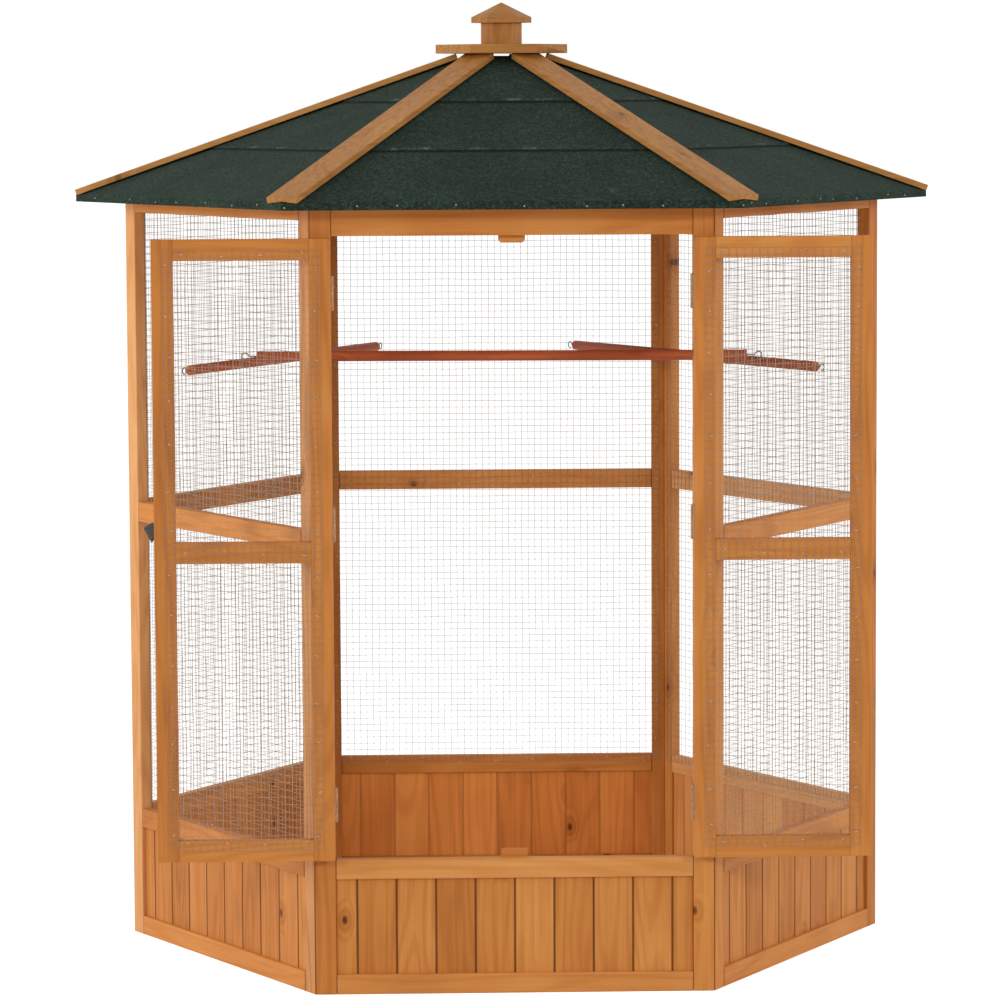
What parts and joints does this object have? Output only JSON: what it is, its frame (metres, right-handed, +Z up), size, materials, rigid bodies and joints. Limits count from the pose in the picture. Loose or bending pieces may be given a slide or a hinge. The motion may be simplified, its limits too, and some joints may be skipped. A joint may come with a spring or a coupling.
{
  "type": "flight bird cage",
  "caption": "Hexagonal timber aviary with wire-mesh walls, boarded kick panels, outward mesh doors, a felted pitched roof with hip battens and finial, and hanging perches.",
  "frame": {"origin": "on the ground under the finial, at the middle of the overall box", "axes": "+Z up, -Y out of the doorway, +X to the right of someone facing the doorway"},
  "size_m": [1.5368, 1.36, 1.6865],
  "materials": {
    "stained_wood": "satin stain",
    "perch_wood": "smooth dowel",
    "roof_felt": "mineral felt",
    "mesh_wire": "galvanised",
    "hinge_steel": "zinc",
    "hook_wire": "zinc",
    "latch_metal": "black"
  },
  "bodies": {
    "cage": {"front_stiles": "stained_wood", "front_header": "stained_wood", "front_kick_rails": "stained_wood", "front_slats": "stained_wood", "door_stops": "stained_wood", "front_right_stiles": "stained_wood", "front_right_rails": "stained_wood", "front_right_slats": "stained_wood", "front_right_mesh": "mesh_wire", "back_right_stiles": "stained_wood", "back_right_rails": "stained_wood", "back_right_slats": "stained_wood", "back_right_mesh": "mesh_wire", "back_stiles": "stained_wood", "back_rails": "stained_wood", "back_slats": "stained_wood", "back_mesh": "mesh_wire", "back_left_stiles": "stained_wood", "back_left_rails": "stained_wood", "back_left_slats": "stained_wood", "back_left_mesh": "mesh_wire", "front_left_stiles": "stained_wood", "front_left_rails": "stained_wood", "front_left_slats": "stained_wood", "front_left_mesh": "mesh_wire", "left_post_leaves": "hinge_steel", "left_hinge_pins": "hinge_steel", "right_post_leaves": "hinge_steel", "right_hinge_pins": "hinge_steel", "roof_boards_front": "stained_wood", "roof_boards_front_right": "stained_wood", "roof_boards_back_right": "stained_wood", "roof_boards_back": "stained_wood", "roof_boards_back_left": "stained_wood", "roof_boards_front_left": "stained_wood", "roof_felt_front": "roof_felt", "roof_felt_front_right": "roof_felt", "roof_felt_back_right": "roof_felt", "roof_felt_back": "roof_felt", "roof_felt_back_left": "roof_felt", "roof_felt_front_left": "roof_felt", "hip_battens": "stained_wood", "finial_plate": "stained_wood", "finial_neck": "stained_wood", "finial_cap": "stained_wood", "front_perch": "perch_wood", "left_perch": "perch_wood", "right_perch": "perch_wood", "perch_hooks": "hook_wire"},
    "left_door": {"left_door_stiles": "stained_wood", "left_door_rails": "stained_wood", "left_door_mesh": "mesh_wire", "left_door_leaves": "hinge_steel", "turn_button_screw": "latch_metal"},
    "right_door": {"right_door_stiles": "stained_wood", "right_door_rails": "stained_wood", "right_door_mesh": "mesh_wire", "right_door_leaves": "hinge_steel"},
    "latch": {"turn_button": "latch_metal"}
  },
  "joints": [
    {"name": "left_door_hinge", "type": "hinge", "parent": "cage", "child": "left_door", "pos_m": [-0.3024, -0.5929, 0.76], "axis": [0, 0, 1], "range_deg": [-8, 180]},
    {"name": "right_door_hinge", "type": "hinge", "parent": "cage", "child": "right_door", "pos_m": [0.3024, -0.5929, 0.76], "axis": [0, 0, -1], "range_deg": [-8, 180]},
    {"name": "turn_button_pivot", "type": "hinge", "parent": "left_door", "child": "latch", "pos_m": [-0.5943, -0.5969, 0.801], "axis": [0, 1, 0], "range_deg": [-180, 180]}
  ]
}
